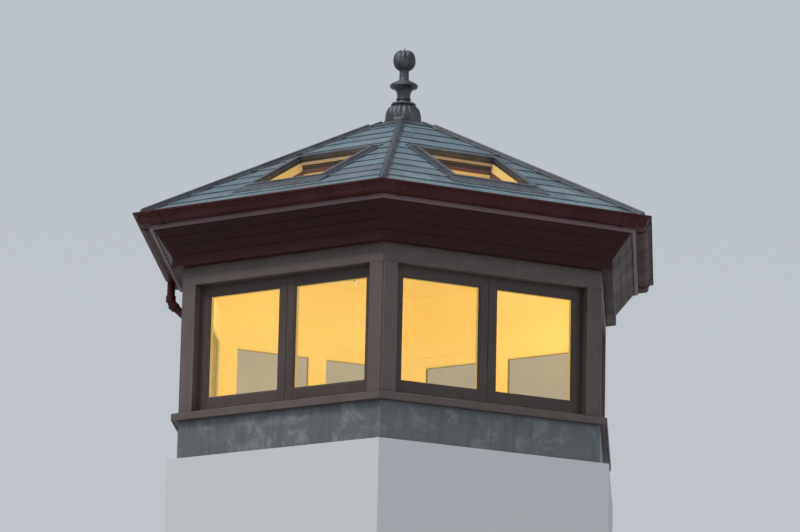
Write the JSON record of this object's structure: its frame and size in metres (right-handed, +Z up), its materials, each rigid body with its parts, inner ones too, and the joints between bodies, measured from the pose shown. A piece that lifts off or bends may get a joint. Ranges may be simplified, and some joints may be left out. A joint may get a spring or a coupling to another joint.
{
  "type": "hexagonal roof cupola",
  "caption": "Hexagonal glazed roof cupola with a slate roof, rooflights, moulded gutter and lead ball finial.",
  "frame": {"origin": "centre of the underside of the kerb", "axes": "+Z up the finial, one corner of the hexagon faces -Y, one side faces +X"},
  "size_m": [3.456, 3.9906, 3.0708],
  "materials": {
    "painted_wood": "satin",
    "brown_wood": "satin",
    "fascia_paint": "satin",
    "timber": "matte",
    "ceiling_paint": "satin",
    "cast_iron": "satin",
    "lead": "matte",
    "slate": "matte",
    "rooflight_metal": "satin",
    "window_glass": "gloss"
  },
  "bodies": {
    "root": {"kerb": "timber", "kerb_lead": "lead", "sill": "painted_wood", "corner_posts": "painted_wood", "window_right": "painted_wood", "window_back_right": "painted_wood", "window_back_left": "painted_wood", "window_left": "painted_wood", "window_front_left": "painted_wood", "window_front_right": "painted_wood", "glass_right": "window_glass", "glass_back_right": "window_glass", "glass_back_left": "window_glass", "glass_left": "window_glass", "glass_front_left": "window_glass", "glass_front_right": "window_glass", "frieze": "painted_wood", "wall_plate": "timber", "ledge": "brown_wood", "soffit": "brown_wood", "fascia": "fascia_paint", "gutter_right": "cast_iron", "gutter_back_right": "cast_iron", "gutter_back_left": "cast_iron", "gutter_left": "cast_iron", "gutter_front_left": "cast_iron", "gutter_front_right": "cast_iron", "downpipe": "cast_iron", "roof_right": "slate", "roof_back_right": "slate", "roof_back_left": "slate", "roof_left": "slate", "roof_front_left": "slate", "roof_front_right": "slate", "ceiling": "ceiling_paint", "apex_boss": "timber", "hip_rolls": "lead", "apex_cap": "lead", "rooflight_frames": "rooflight_metal", "rooflight_linings": "ceiling_paint", "rooflight_glass": "window_glass", "finial_base": "lead", "finial_stem": "lead", "finial_ball": "lead"}
  },
  "joints": []
}
